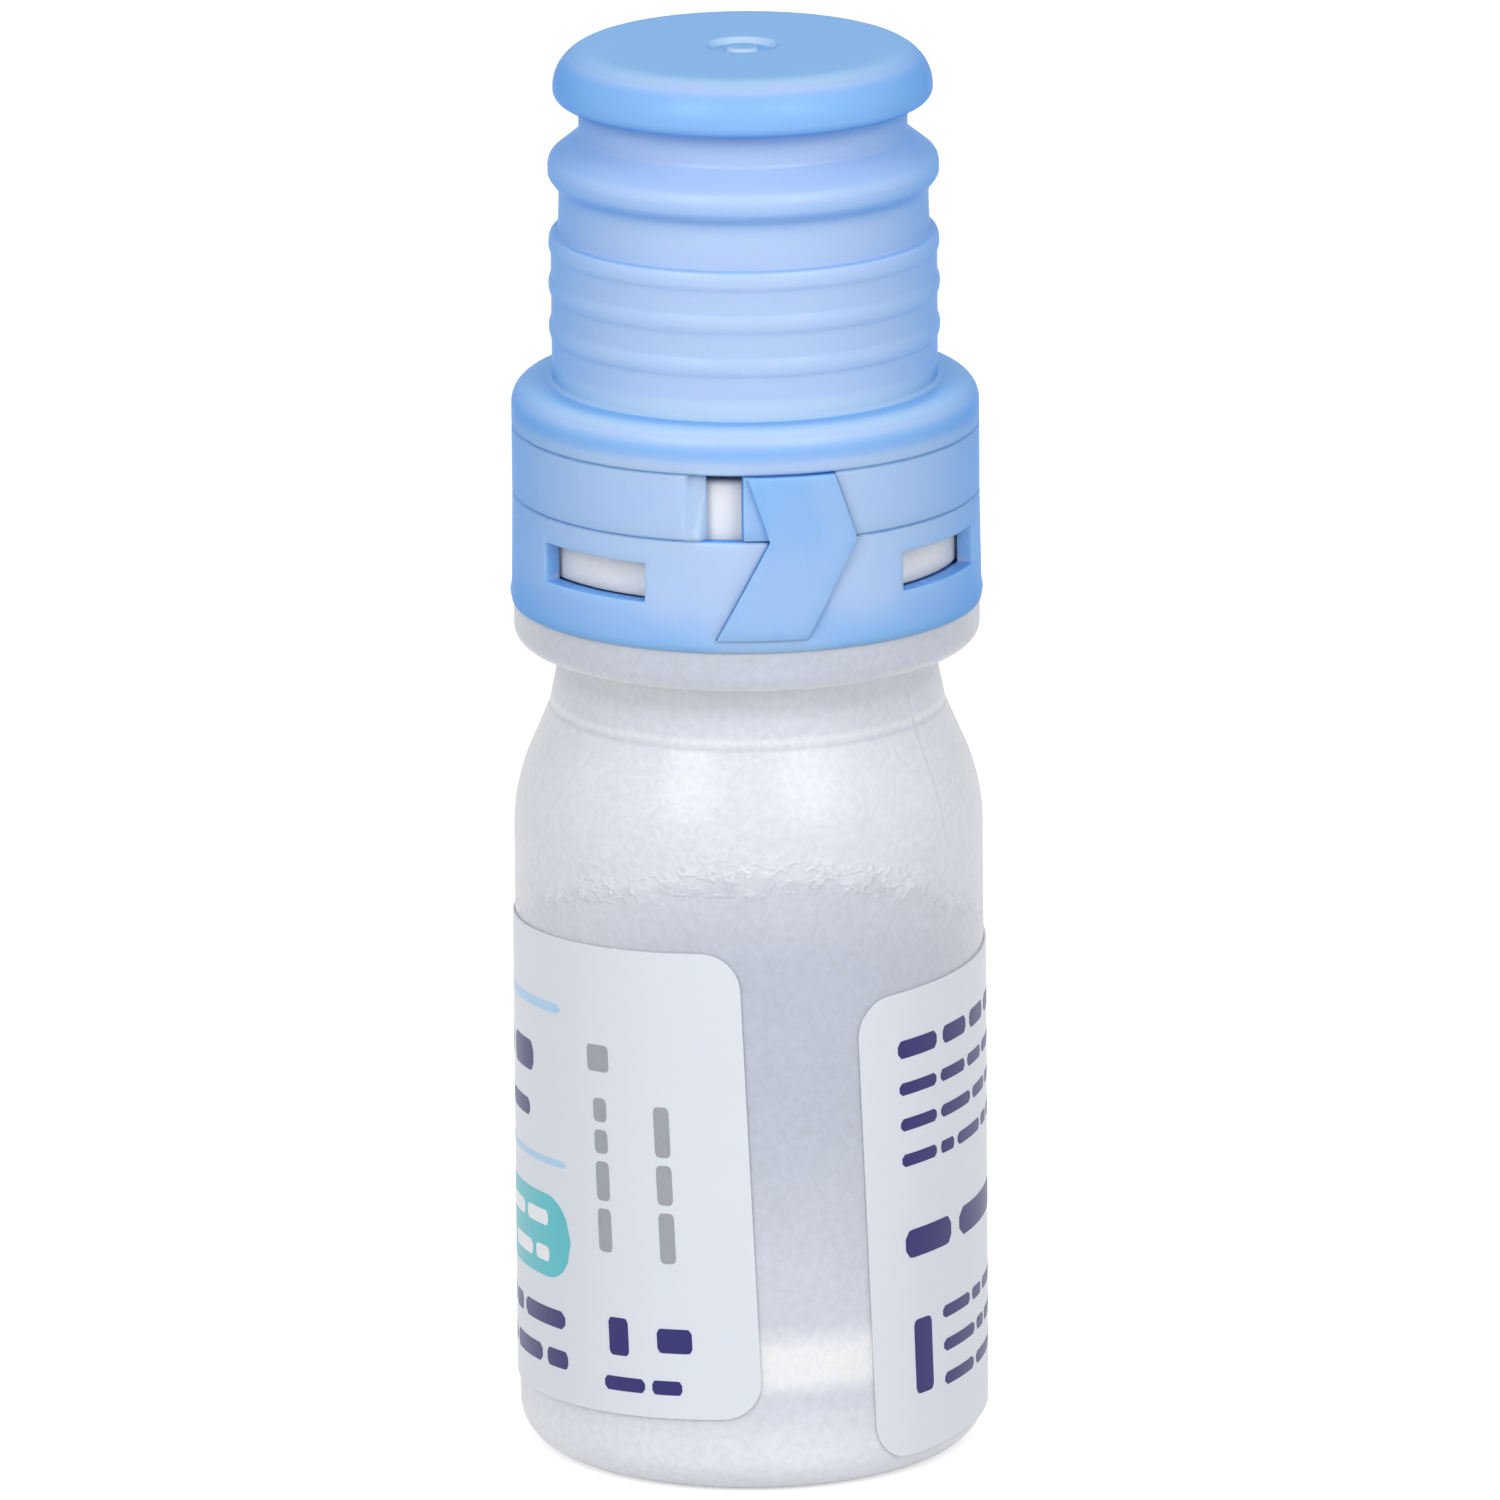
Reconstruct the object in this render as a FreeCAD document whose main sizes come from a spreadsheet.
import FreeCAD, Part
import Sketcher
import math
import os
import re

# Eye drop bottle: a squeeze bottle with a filter dropper head, closed by a pull-off cap that a
# tear strip with a pull tab seals to a retaining ring on the neck.
# Millimetres. The bottle stands on Z = 0 round the Z axis, and its front faces -Y.

SIZES = {
    # bottle
    "barrel_diameter": 24.0,
    "barrel_height": 34.6,
    "shoulder_rounding": 10.5,
    "shoulder_height": 4.32,
    "barrel_wall": 1.1,
    "base_wall": 1.1,
    "base_rounding": 2.05,
    "base_recess_diameter": 15.0,
    "base_recess_depth": 0.8,
    "base_recess_slope": 2.6,
    "neck_inset": 3.6,
    "neck_crease_wall": 1.74,
    "neck_wall": 1.05,
    "neck_length": 3.38,
    "flange_reach": 1.89,
    "flange_thickness": 2.2,
    "flange_rounding": 0.92,
    "finish_wall": 1.6,
    "rim_setback": 1.65,
    "snap_bead_reach": 0.9,
    "snap_bead_height": 2.2,
    "snap_bead_slope": 0.4,
    # contents and label
    "headspace": 4.6,
    "fill_clearance": 0.02,
    "label_height": 24.6,
    "label_base": 2.75,
    "label_gap": 6.1,
    "label_skew": 2.5,
    "label_corner": 2.0,
    "label_thickness": 0.1,
    "label_adhesive": 0.02,
    "label_bearing": 14.5,
    # dropper head and filter
    "seat_clearance": 0.02,
    "plug_depth": 5.5,
    "plug_wall": 1.0,
    "skirt_wall": 0.7,
    "skirt_gap": 0.3,
    "skirt_clearance": 0.2,
    "rim_thickness": 1.2,
    "boss_wall": 1.37,
    "boss_height": 3.6,
    "deck_thickness": 1.2,
    "nozzle_length": 11.4,
    "nozzle_root_diameter": 7.2,
    "nozzle_tip_diameter": 3.8,
    "nozzle_tip_rounding": 0.7,
    "orifice_diameter": 1.1,
    "orifice_length": 3.0,
    "channel_diameter": 2.6,
    "outlet_chamber_depth": 0.5,
    "membrane_thickness": 0.2,
    "membrane_grip": 0.8,
    "support_plate": 1.0,
    "support_rib_height": 0.6,
    "support_rib_width": 0.5,
    "support_rib_count": 12,
    "pad_diameter": 5.0,
    "pad_length": 5.6,
    "pad_tube_wall": 0.8,
    "pad_lip": 0.5,
    # tamper ring and strip
    "closure_bearing": 8.0,
    "closure_clearance": 0.2,
    "closure_wall": 0.8,
    "ring_height": 5.7,
    "ring_flare": 0.07,
    "ring_lip_reach": 0.08,
    "ring_lip_height": 0.9,
    "snap_rim_height": 2.2,
    "snap_clearance": 0.2,
    "window_height": 2.02,
    "window_angle": 33.0,
    "window_bearing": 50.0,
    "strip_height": 3.45,
    "tear_web": 0.5,
    "tear_groove": 0.12,
    "slot_width": 1.75,
    "slot_shift": 2.65,
    "strip_ramp": 1.2,
    "strip_ramp_edge": 0.25,
    # pull tab
    "tab_width": 4.45,
    "tab_shift": 1.77,
    "tab_upper_lean": 1.15,
    "tab_lower_lean": 2.68,
    "tab_sill": 0.7,
    "tab_thickness": 0.75,
    "tab_rise": 0.25,
    "tab_clearance": 0.1,
    "tab_hinge_relief": 1.6,
    "tab_swing_room": 0.15,
    # cap
    "collar_height": 2.35,
    "collar_top_wall": 1.0,
    "collar_rounding": 1.25,
    "cap_clearance": 0.2,
    "cap_wall": 0.86,
    "grip_height": 7.66,
    "grip_rib_count": 3,
    "grip_rib_first": 2.72,
    "grip_rib_reach": 0.19,
    "grip_rib_width": 1.0,
    "waist_step": 0.36,
    "waist_taper": 0.09,
    "waist_height": 2.3,
    "top_bead_reach": 0.57,
    "top_bead_ramp": 0.55,
    "top_bead_height": 1.0,
    "top_bead_rounding": 0.75,
    "top_neck_inset": 1.02,
    "top_neck_ramp": 1.25,
    "top_neck_height": 1.7,
    "top_flange_reach": 1.3,
    "top_flange_thickness": 2.75,
    "top_flange_rounding": 2.1,
    "top_flange_edge": 0.6,
    "top_flange_land": 0.05,
    "top_wall": 1.2,
    "gate_dimple_diameter": 3.7,
    "gate_dimple_depth": 0.3,
    "gate_nub_diameter": 1.8,
    "sleeve_clearance": 0.2,
    "sleeve_wall": 0.8,
    "sleeve_length": 6.8,
    "pin_clearance": 0.2,
    "pin_depth": 0.8,
}

# Sizes that follow from the ones above: radii and diameters first, then heights from the base up.
DERIVED = {
    "barrel_r": "barrel_diameter / 2",
    "cavity_r": "barrel_r - barrel_wall",
    "bore_r": "barrel_r - neck_inset",
    "finish_r": "bore_r + finish_wall",
    "flange_r": "finish_r + flange_reach",
    "snap_bead_r": "finish_r + snap_bead_reach",
    "label_r": "barrel_r + label_adhesive",
    "plug_r": "bore_r - seat_clearance",
    "plug_bore_r": "plug_r - plug_wall",
    "skirt_inner_r": "finish_r + skirt_clearance",
    "skirt_r": "skirt_inner_r + skirt_wall",
    "boss_r": "plug_bore_r + boss_wall",
    "closure_inner_r": "skirt_r + closure_clearance",
    "closure_r": "closure_inner_r + closure_wall",
    "ring_r": "closure_r + ring_flare",
    "tab_r": "closure_r + tab_rise",
    "tab_inner_r": "tab_r - tab_thickness",
    "cap_bore_r": "boss_r + cap_clearance",
    "grip_r": "cap_bore_r + cap_wall",
    "waist_r": "grip_r - waist_step",
    "waist_top_r": "waist_r - waist_taper",
    "top_bead_r": "waist_top_r + top_bead_reach",
    "top_neck_r": "waist_top_r - top_neck_inset",
    "top_flange_r": "top_neck_r + top_flange_reach",
    "support_r": "plug_bore_r - seat_clearance",
    "pad_tube_r": "pad_diameter / 2 + seat_clearance + pad_tube_wall",
    "orifice_r": "orifice_diameter / 2",
    "crease_z": "barrel_height + shoulder_height",
    "flange_z": "crease_z + neck_length",
    "ring_z": "flange_z + flange_thickness",
    "snap_z": "ring_z + snap_rim_height + snap_clearance",
    "snap_top_z": "snap_z + snap_bead_height",
    "skirt_z": "snap_top_z + skirt_gap",
    "strip_z": "ring_z + ring_height",
    "collar_z": "strip_z + strip_height",
    "rim_z": "collar_z - rim_setback",
    "plug_z": "rim_z - plug_depth",
    "boss_z": "rim_z + rim_thickness",
    "deck_z": "boss_z + boss_height",
    "clamp_z": "deck_z - deck_thickness",
    "membrane_z": "clamp_z - membrane_thickness",
    "support_z": "membrane_z - support_rib_height - support_plate",
    "pad_z": "membrane_z - support_rib_height - pad_length",
    "tip_z": "deck_z + nozzle_length",
    "tab_z": "ring_z + tab_sill",
    "grip_z": "collar_z + collar_height",
    "waist_z": "grip_z + grip_height",
    "top_bead_z": "waist_z + waist_height",
    "top_neck_z": "top_bead_z + top_bead_ramp + top_bead_height",
    "top_flange_z": "top_neck_z + top_neck_ramp + top_neck_height",
    "top_z": "top_flange_z + top_flange_thickness",
    "top_rounding": "min(top_flange_rounding; top_flange_thickness - top_flange_edge - top_flange_land)",
    "ceiling_z": "top_z - top_wall",
    "fill_z": "barrel_height - headspace",
    "nozzle_slope": "(nozzle_root_diameter - nozzle_tip_diameter) / 2 / nozzle_length",
    "sleeve_mouth_z": "ceiling_z - sleeve_length",
    "nozzle_r_at_sleeve": "nozzle_tip_diameter / 2 + nozzle_slope * (tip_z - sleeve_mouth_z)",
    "sleeve_r": "nozzle_r_at_sleeve + sleeve_clearance",
    "grip_rib_pitch": "(grip_height - grip_rib_first - grip_rib_width / 2) / (grip_rib_count - 1)",
}

FRONT_TURN = 90.0
LABEL_TOLERANCE = 1e-4

doc = FreeCAD.newDocument("EyeDropBottle")
sheet = doc.addObject("Spreadsheet::Sheet", "Sizes")


def fill_sheet():
    """Put every driving size in the sheet, under its own name."""
    for row, (name, number) in enumerate(SIZES.items(), start=1):
        sheet.set(f"A{row}", name.replace("_", " "))
        sheet.set(f"B{row}", str(number))
        sheet.setAlias(f"B{row}", name)
    doc.recompute()


def formula(text):
    """Turn a formula of size names into an expression on the sheet's cells."""
    def cell(match):
        word = match.group()
        if word in SIZES:
            return "Sizes." + word
        if word in DERIVED:
            return "(" + formula(DERIVED[word]) + ")"
        return word
    return re.sub(r"[a-z_]+", cell, text)


def size(text):
    """The present value of a formula of size names."""
    return sheet.evalExpression(formula(text))


def bind(feature, **formulas):
    """Tie properties of a feature to formulas."""
    for name, text in formulas.items():
        feature.setExpression(name, formula(text))


def turn(piece, bearing):
    """Turn a piece about Z, so that its own +X faces a bearing counted from the front."""
    piece.Placement = FreeCAD.Placement(FreeCAD.Vector(), FreeCAD.Rotation(FreeCAD.Vector(0, 0, 1), 1))
    piece.setExpression("Placement.Rotation.Angle", formula(f"{bearing} - {FRONT_TURN}"))


def new_body(name):
    body = doc.addObject("PartDesign::Body", name)
    body.Label = name
    return body


def origin_feature(body, role):
    return next(feature for feature in body.Origin.OriginFeatures if feature.Role == role)


def new_sketch(body, name, plane):
    sketch = body.newObject("Sketcher::SketchObject", name)
    sketch.AttachmentSupport = [(origin_feature(body, plane), "")]
    sketch.MapMode = "FlatFace"
    return sketch


def rounded_corner(before, corner, after, radius):
    """Where a rounding meets the sides of a corner, and its centre."""
    back = (before - corner).normalize()
    ahead = (after - corner).normalize()
    half_angle = back.getAngle(ahead) / 2
    reach = radius / math.tan(half_angle)
    centre = corner + (back + ahead).normalize() * (radius / math.sin(half_angle))
    return corner + back * reach, corner + ahead * reach, centre


def draw_outline(sketch, corners):
    """Draw a closed outline whose corners are (across, up) or (across, up, rounding) formulas."""
    count = len(corners)
    points = [FreeCAD.Vector(size(corner[0]), size(corner[1]), 0) for corner in corners]
    starts = list(points)
    ends = list(points)
    arcs = {}
    for i, corner in enumerate(corners):
        if len(corner) == 3:
            ends[i], starts[i], centre = rounded_corner(
                points[i - 1], points[i], points[(i + 1) % count], size(corner[2]))
            arcs[i] = Part.Circle(centre, FreeCAD.Vector(0, 0, 1), size(corner[2]))
    lines = sketch.addGeometry(
        [Part.LineSegment(starts[i], ends[(i + 1) % count]) for i in range(count)])
    constraints = []
    bindings = []

    def dimension(kind, geometry, text, number):
        if text == "0":
            axis = -2 if kind == "DistanceX" else -1
            constraints.append(Sketcher.Constraint("PointOnObject", *geometry, axis))
        else:
            bindings.append((len(constraints), text))
            constraints.append(Sketcher.Constraint(kind, -1, 1, *geometry, number))

    for i, corner in enumerate(corners):
        arriving = lines[i - 1]
        leaving = lines[i]
        if i in arcs:
            left_turn = (points[i] - points[i - 1]).cross(points[(i + 1) % count] - points[i]).z > 0
            first, last = (ends[i], starts[i]) if left_turn else (starts[i], ends[i])
            arc = sketch.addGeometry(
                Part.ArcOfCircle(arcs[i], arcs[i].parameter(first), arcs[i].parameter(last)))
            mark = sketch.addGeometry(Part.Point(points[i]), True)
            arc_in, arc_out = (1, 2) if left_turn else (2, 1)
            constraints.append(Sketcher.Constraint("Tangent", arriving, 2, arc, arc_in))
            constraints.append(Sketcher.Constraint("Tangent", arc, arc_out, leaving, 1))
            constraints.append(Sketcher.Constraint("PointOnObject", mark, 1, arriving))
            constraints.append(Sketcher.Constraint("PointOnObject", mark, 1, leaving))
            bindings.append((len(constraints), corner[2]))
            constraints.append(Sketcher.Constraint("Radius", arc, size(corner[2])))
            fixed = (mark, 1)
        else:
            constraints.append(Sketcher.Constraint("Coincident", arriving, 2, leaving, 1))
            fixed = (leaving, 1)
        dimension("DistanceX", fixed, corner[0], points[i].x)
        dimension("DistanceY", fixed, corner[1], points[i].y)
    sketch.addConstraint(constraints)
    for index, text in bindings:
        sketch.setExpression(f"Constraints[{index}]", formula(text))


def turned(body, name, corners, kind="Revolution"):
    """Turn an outline of (radius, height) corners about Z: a Revolution adds it, a Groove cuts it."""
    sketch = new_sketch(body, name + "_outline", "XZ_Plane")
    draw_outline(sketch, corners)
    feature = body.newObject("PartDesign::" + kind, name)
    feature.Profile = sketch
    feature.ReferenceAxis = (sketch, ["V_Axis"])
    feature.Angle = 360.0
    return feature


def pattern(body, name, kind, originals, **settings):
    """Repeat features along or about the body's Z axis."""
    feature = body.newObject("PartDesign::" + kind, name)
    feature.Originals = originals
    z_axis = (origin_feature(body, "Z_Axis"), [""])
    if kind == "PolarPattern":
        feature.Axis = z_axis
    else:
        feature.Direction = z_axis
    for setting, value in settings.items():
        setattr(feature, setting, value)
    body.Tip = feature
    return feature


def band(inner, outer, low, high):
    """Outline of a plain band between two radii and two heights."""
    return [(inner, low), (outer, low), (outer, high), (inner, high)]


def curved_plate(name, corners, inner, outer):
    """A plate on a cylinder wall, seen from +X as an outline of (right, up) corners."""
    body = new_body(name)
    sketch = new_sketch(body, name + "_outline", "YZ_Plane")
    draw_outline(sketch, corners)
    pad = body.newObject("PartDesign::Pad", name + "_pad")
    pad.Profile = sketch
    bind(pad, Length=f"{outer} + closure_wall")
    turned(body, name + "_inside", band("0", inner, "flange_z", "waist_z"), "Groove")
    turned(body, name + "_outside", band(outer, f"2 * ({outer})", "flange_z", "waist_z"), "Groove")
    turn(body, "closure_bearing")
    return body


def make_bottle():
    """Blown bottle: dished base, barrel, shoulder, neck, transfer flange and neck finish."""
    body = new_body("bottle")
    recess_r = "base_recess_diameter / 2"
    recess_flat_r = f"{recess_r} - base_recess_slope"
    turned(body, "bottle_outside", [
        ("0", "base_recess_depth"),
        (recess_flat_r, "base_recess_depth", "base_recess_slope"),
        (recess_r, "0"),
        ("barrel_r", "0", "base_rounding"),
        ("barrel_r", "barrel_height", "shoulder_rounding"),
        ("bore_r + neck_crease_wall", "crease_z"),
        ("bore_r + neck_wall", "flange_z"),
        ("flange_r", "flange_z", "flange_rounding"),
        ("flange_r", "ring_z"),
        ("finish_r", "ring_z"),
        ("finish_r", "snap_z"),
        ("snap_bead_r", "snap_z"),
        ("snap_bead_r", "snap_top_z - snap_bead_slope"),
        ("finish_r", "snap_top_z"),
        ("finish_r", "rim_z"),
        ("0", "rim_z"),
    ])
    turned(body, "bottle_cavity", cavity_outline("0") + [
        ("cavity_r", "barrel_height", "shoulder_rounding - barrel_wall"),
        ("bore_r", "crease_z + neck_length / 2"),
        ("bore_r", "rim_z + base_wall"),
        ("0", "rim_z + base_wall"),
    ], "Groove")
    return body


def cavity_outline(clearance):
    """Floor and lower wall of the bottle's cavity, drawn in by a clearance."""
    floor = f"base_wall + {clearance}"
    recess_r = "base_recess_diameter / 2"
    rounding = f"max(base_rounding - barrel_wall; barrel_wall / 4) - {clearance}"
    return [
        ("0", f"base_recess_depth + {floor}"),
        (f"{recess_r} - base_recess_slope", f"base_recess_depth + {floor}", "base_recess_slope"),
        (recess_r, floor),
        (f"cavity_r - {clearance}", floor, rounding),
    ]


def make_solution():
    """The liquid fill, up to its level."""
    body = new_body("eye_drop_solution")
    turned(body, "solution", cavity_outline("fill_clearance") + [
        ("cavity_r - fill_clearance", "fill_z"),
        ("0", "fill_z"),
    ])
    return body


def label_outline():
    """The label's edge as curves of (angle, height): straight sides and conic round corners."""
    radius = size("label_r")
    half_length = math.pi * radius - size("label_gap") / 2
    half_height = size("label_height") / 2
    corner = size("label_corner")
    skew = math.radians(size("label_skew"))
    middle_height = size("label_base") + half_height

    def on_wall(along, up):
        across = along * math.cos(skew) - up * math.sin(skew)
        rise = along * math.sin(skew) + up * math.cos(skew)
        return FreeCAD.Base.Vector2d(math.pi + across / radius, middle_height + rise)

    corners = []
    for along, up in ((1, -1), (1, 1), (-1, 1), (-1, -1)):
        beside = (along * (half_length - corner), up * half_height)
        below = (along * half_length, up * (half_height - corner))
        first, last = (beside, below) if along * up < 0 else (below, beside)
        conic = Part.Geom2d.BezierCurve2d()
        conic.increase(2)
        for index, pole in enumerate((first, (along * half_length, up * half_height), last), start=1):
            conic.setPole(index, on_wall(*pole))
        conic.setWeight(2, math.sqrt(0.5))
        corners.append(conic)
    curves = []
    for conic, following in zip(corners, corners[1:] + corners[:1]):
        curves += [conic, Part.Geom2d.Line2dSegment(conic.getPole(3), following.getPole(1))]
    return curves


def make_label():
    """Wrap-around label: a rectangle with round corners, laid on the barrel slightly skewed."""
    wall = Part.Cylinder()
    wall.Radius = size("label_r")
    seam = size("label_gap / label_r / 4")
    reach = size("label_height")
    patch = wall.toShape(seam, 2 * math.pi - seam, -reach, 2 * reach)
    pieces, _ = patch.generalFuse([curve.toShape(wall) for curve in label_outline()])
    paper = min(pieces.Faces, key=lambda face: len(face.Wires))
    label = doc.addObject("Part::Feature", "wrap_label")
    label.Label = "wrap_label"
    label.Shape = paper.makeOffsetShape(size("label_thickness"), LABEL_TOLERANCE, fill=True)
    turn(label, "label_bearing")
    return label


def make_dropper_head():
    """Nozzle part: plug and skirt on the neck's rim, boss for the cap, nozzle with its channel."""
    body = new_body("dropper_head")
    turned(body, "dropper_outside", [
        ("0", "plug_z"),
        ("plug_r", "plug_z"),
        ("plug_r", "rim_z"),
        ("skirt_inner_r", "rim_z"),
        ("skirt_inner_r", "skirt_z"),
        ("skirt_r", "skirt_z"),
        ("skirt_r", "boss_z", "skirt_wall / 2"),
        ("boss_r", "boss_z"),
        ("boss_r", "deck_z", "boss_wall / 2"),
        ("nozzle_root_diameter / 2", "deck_z", "deck_thickness / 2"),
        ("nozzle_tip_diameter / 2", "tip_z", "nozzle_tip_rounding"),
        ("0", "tip_z"),
    ])
    chamber_r = "plug_bore_r - membrane_grip"
    turned(body, "dropper_inside", [
        ("0", "plug_z - plug_wall"),
        ("plug_bore_r", "plug_z - plug_wall"),
        ("plug_bore_r", "clamp_z"),
        (chamber_r, "clamp_z"),
        ("channel_diameter / 2", "clamp_z + outlet_chamber_depth"),
        ("channel_diameter / 2", "tip_z - orifice_length - channel_diameter / 2"),
        ("orifice_r", "tip_z - orifice_length"),
        ("orifice_r", "tip_z + orifice_length"),
        ("0", "tip_z + orifice_length"),
    ], "Groove")
    return body


def make_filter():
    """The membrane, the ribbed plate that clamps it, and the porous pad in the plate's tube."""
    membrane = new_body("filter_membrane")
    turned(membrane, "membrane_disc", band("0", "support_r", "membrane_z", "clamp_z"))

    support = new_body("membrane_support")
    tube_bore_r = "pad_diameter / 2 + seat_clearance"
    plate_top = "support_z + support_plate"
    turned(support, "support_plate_and_tube", [
        (tube_bore_r, "pad_z"),
        (tube_bore_r, plate_top),
        ("support_r - membrane_grip", plate_top),
        ("support_r - membrane_grip", "membrane_z"),
        ("support_r", "membrane_z"),
        ("support_r", "support_z"),
        ("pad_tube_r", "support_z"),
        ("pad_tube_r", "pad_z - pad_lip"),
        (f"{tube_bore_r} - pad_lip", "pad_z - pad_lip"),
        (f"{tube_bore_r} - pad_lip", "pad_z"),
    ])
    sketch = new_sketch(support, "rib_outline", "XZ_Plane")
    draw_outline(sketch, band("pad_tube_r", "support_r - membrane_grip / 2",
                              "support_z + support_plate / 2", "membrane_z"))
    rib = support.newObject("PartDesign::Pad", "rib")
    rib.Profile = sketch
    rib.Midplane = True
    bind(rib, Length="support_rib_width")
    ribs = pattern(support, "ribs", "PolarPattern", [rib], Angle=360.0)
    bind(ribs, Occurrences="support_rib_count")

    pad = new_body("flow_pad")
    turned(pad, "pad_plug", band("0", "pad_diameter / 2", "pad_z", "pad_z + pad_length"))
    return membrane, support, pad


def tab_outline(margin, swing_room="0"):
    """The arrow-shaped flap from its left lower corner round, widened by a margin."""
    left = f"tab_shift - tab_width / 2 - {margin}"
    right = f"tab_shift + tab_width / 2 + {margin} + {swing_room}"
    low = f"tab_z - {margin}"
    lower_lean = f"tab_lower_lean * (1 + {margin} / (strip_z - tab_z))"
    high = f"collar_z - tab_clearance + {margin}"
    return [
        (f"{left} - {lower_lean}", low),
        (f"{right} - {lower_lean}", low),
        (right, "strip_z"),
        (f"{right} - tab_upper_lean", high),
        (f"{left} - tab_upper_lean", high),
        (left, "strip_z"),
    ]


def strip_start_outline():
    """The strip's free end, from the slot's edge to just short of the line where the tab bends."""
    left = "slot_width / 2 - slot_shift"
    right = "tab_shift + tab_width / 2 - tab_hinge_relief"
    low = "strip_z + tab_clearance"
    high = "collar_z - tab_clearance"
    return [(left, low), (right, low), (f"{right} - tab_upper_lean", high), (left, high)]


def make_pull_tab():
    """The strip's free end with the raised arrow flap, whose lower half lies over the ring."""
    flap = curved_plate("tab_flap", tab_outline("0"), "tab_inner_r", "tab_r")
    start = curved_plate("tab_strip_end", strip_start_outline(), "closure_inner_r", "closure_r")
    tab = doc.addObject("Part::Fuse", "pull_tab")
    tab.Label = "pull_tab"
    tab.Base = flap
    tab.Tool = start
    return tab


def make_ring():
    """Retaining ring: snap rim under the bottle's bead, four windows and the bed of the flap."""
    body = new_body("ring_moulding")
    rim_inner_r = "finish_r + snap_clearance"
    turned(body, "ring_wall", [
        (rim_inner_r, "ring_z"),
        ("ring_r", "ring_z"),
        ("ring_r + ring_lip_reach", "ring_z + ring_lip_height / 2"),
        ("ring_r", "ring_z + ring_lip_height"),
        ("closure_r", "strip_z - tear_groove"),
        ("closure_inner_r + tear_web", "strip_z"),
        ("closure_inner_r", "strip_z"),
        ("closure_inner_r", "ring_z + snap_rim_height"),
        (rim_inner_r, "ring_z + snap_rim_height"),
    ])
    windows = []
    window_outline = band("finish_r", "ring_r + closure_wall", "snap_z", "snap_z + window_height")
    for side, sign in (("right", ""), ("left", "-")):
        window = turned(body, f"window_{side}", window_outline, "Groove")
        sketch = window.Profile[0]
        sketch.AttachmentOffset = FreeCAD.Placement(
            FreeCAD.Vector(), FreeCAD.Rotation(FreeCAD.Vector(0, 1, 0), 1))
        sketch.setExpression("AttachmentOffset.Rotation.Angle", formula(f"{sign}window_bearing"))
        window.Midplane = True
        bind(window, Angle="window_angle")
        windows.append(window)
    pattern(body, "windows", "PolarPattern", windows, Occurrences=2, Angle=360.0)
    turn(body, "closure_bearing")
    bed_floor_r = "tab_inner_r - tab_clearance"
    bed_outline = tab_outline("tab_clearance", "tab_swing_room")
    bed = curved_plate("tab_bed", bed_outline, bed_floor_r, "tab_r + tab_rise")
    ring = doc.addObject("Part::Cut", "retaining_ring")
    ring.Label = "retaining_ring"
    ring.Base = body
    ring.Tool = bed
    return ring


def make_strip():
    """Tear strip: a band with a tear groove at both edges, open between the slot and the tab."""
    body = new_body("tear_strip")
    turned(body, "strip_band", [
        ("closure_inner_r", "strip_z"),
        ("closure_inner_r + tear_web", "strip_z"),
        ("closure_r", "strip_z + tear_groove"),
        ("closure_r", "collar_z - tear_groove"),
        ("closure_inner_r + tear_web", "collar_z"),
        ("closure_inner_r", "collar_z"),
    ])
    sketch = new_sketch(body, "opening_outline", "YZ_Plane")
    hinge = "tab_shift + tab_width / 2 + tab_clearance"
    slot_left = "-slot_shift - slot_width / 2"
    draw_outline(sketch, [
        (slot_left, "strip_z"),
        (hinge, "strip_z"),
        (f"{hinge} - tab_upper_lean", "collar_z"),
        (slot_left, "collar_z"),
    ])
    opening = body.newObject("PartDesign::Pocket", "opening")
    opening.Profile = sketch
    opening.Reversed = True
    bind(opening, Length="closure_r + closure_wall")
    ramp_start = f"{slot_left} - strip_ramp"
    ramp_edge_r = "closure_inner_r + strip_ramp_edge"
    sketch = new_sketch(body, "ramp_outline", "XY_Plane")
    draw_outline(sketch, [
        (f"sqrt(closure_r ^ 2 - ({ramp_start}) ^ 2)", ramp_start),
        ("closure_r + closure_wall", ramp_start),
        ("closure_r + closure_wall", slot_left),
        (f"sqrt(({ramp_edge_r}) ^ 2 - ({slot_left}) ^ 2)", slot_left),
    ])
    ramp = body.newObject("PartDesign::Pocket", "thinned_end")
    ramp.Profile = sketch
    ramp.Midplane = True
    bind(ramp, Length="2 * grip_z")
    turn(body, "closure_bearing")
    return body


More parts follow.
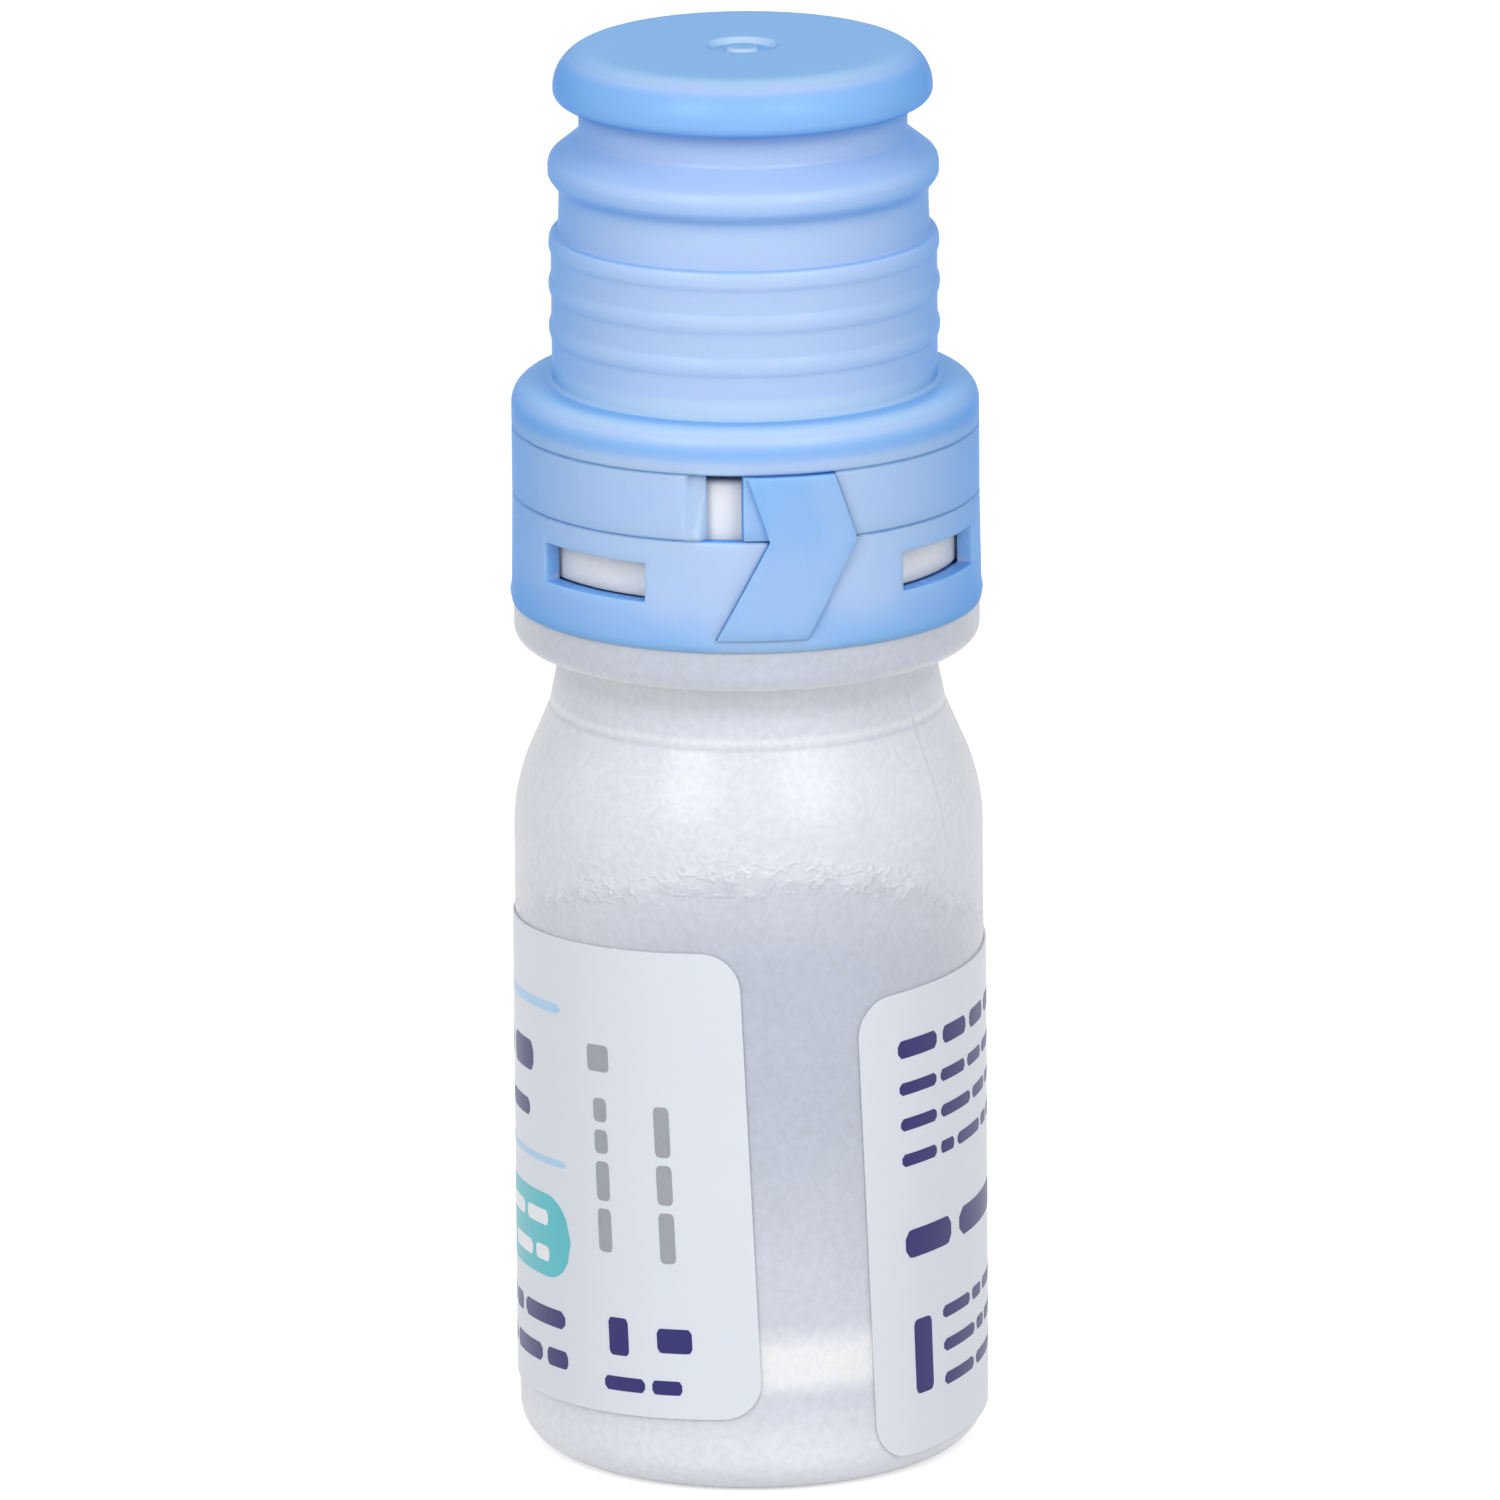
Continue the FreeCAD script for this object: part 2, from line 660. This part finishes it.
def make_cap():
    """Pull-off cap: collar, ribbed grip, waist, top bead, finger flange, sealing sleeve and pin."""
    body = new_body("cap")
    dimple_floor = "top_z - gate_dimple_depth"
    turned(body, "cap_outside", [
        ("0", "collar_z"),
        ("closure_inner_r + tear_web", "collar_z"),
        ("closure_r", "collar_z + tear_groove"),
        ("closure_r", "grip_z", "collar_rounding"),
        ("grip_r", "grip_z", "cap_wall / 4"),
        ("grip_r", "waist_z", "waist_step / 3"),
        ("waist_r", "waist_z", "waist_step / 2"),
        ("waist_top_r", "top_bead_z", "top_bead_rounding / 2"),
        ("top_bead_r", "top_bead_z + top_bead_ramp", "top_bead_rounding / 2"),
        ("top_bead_r", "top_neck_z", "top_bead_rounding"),
        ("top_neck_r", "top_neck_z + top_neck_ramp", "top_bead_rounding / 2"),
        ("top_neck_r", "top_flange_z"),
        ("top_flange_r", "top_flange_z", "top_flange_edge"),
        ("top_flange_r", "top_z", "top_rounding"),
        ("gate_dimple_diameter / 2", "top_z"),
        ("gate_dimple_diameter / 2 - gate_dimple_depth", dimple_floor),
        ("gate_nub_diameter / 2", dimple_floor),
        ("gate_nub_diameter / 2 - gate_dimple_depth / 2", "top_z - gate_dimple_depth / 4"),
        ("0", "top_z - gate_dimple_depth / 4"),
    ])
    turned(body, "cap_inside", [
        ("0", "collar_z - collar_height"),
        ("closure_inner_r", "collar_z - collar_height"),
        ("closure_inner_r", "grip_z - collar_top_wall", "collar_top_wall / 2"),
        ("cap_bore_r", "grip_z - collar_top_wall"),
        ("cap_bore_r", "waist_z - cap_wall"),
        ("waist_top_r - cap_wall", "waist_z"),
        ("waist_top_r - cap_wall", "top_neck_z"),
        ("top_neck_r - cap_wall", "top_neck_z + cap_wall"),
        ("top_neck_r - cap_wall", "ceiling_z", "cap_wall"),
        ("0", "ceiling_z"),
    ], "Groove")
    root_z = "ceiling_z + top_wall / 4"
    turned(body, "sealing_sleeve", band("sleeve_r", "sleeve_r + sleeve_wall", "sleeve_mouth_z", root_z))
    turned(body, "sealing_pin", band("0", "orifice_r - pin_clearance", "tip_z - pin_depth", root_z))
    rib_z = "grip_z + grip_rib_first"
    rib_root_r = "grip_r - cap_wall / 4"
    rib = turned(body, "grip_rib", [
        (rib_root_r, f"{rib_z} - grip_rib_width / 2"),
        ("grip_r", f"{rib_z} - grip_rib_width / 2"),
        ("grip_r + grip_rib_reach", f"{rib_z} - grip_rib_width / 4", "grip_rib_width / 2"),
        ("grip_r + grip_rib_reach", f"{rib_z} + grip_rib_width / 4", "grip_rib_width / 2"),
        ("grip_r", f"{rib_z} + grip_rib_width / 2"),
        (rib_root_r, f"{rib_z} + grip_rib_width / 2"),
    ])
    ribs = pattern(body, "grip_ribs", "LinearPattern", [rib], Mode="Spacing")
    bind(ribs, Occurrences="grip_rib_count", Offset="grip_rib_pitch")
    return body


def check_document(pieces):
    """Stop if any object of the document failed, or a sub-part has no sound shape."""
    for item in doc.Objects:
        if "Invalid" in item.State or "Error" in item.State:
            raise RuntimeError(f"{item.Name} failed: {item.State}")
    for piece in pieces:
        if piece.Shape.isNull() or not piece.Shape.isValid():
            raise RuntimeError(f"{piece.Label} has no sound shape")


def write_pieces(pieces):
    """Write each sub-part to a STEP file under its own name."""
    os.makedirs("parts", exist_ok=True)
    for piece in pieces:
        piece.Shape.exportStep(f"parts/{piece.Label}.step")
        print(f"{piece.Label}: {piece.Shape.Volume:.1f} mm3, {len(piece.Shape.Solids)} solid")


fill_sheet()
PIECES = [
    make_bottle(),
    make_solution(),
    make_label(),
    make_dropper_head(),
    *make_filter(),
    make_ring(),
    make_strip(),
    make_pull_tab(),
    make_cap(),
]
doc.recompute()
check_document(PIECES)
write_pieces(PIECES)
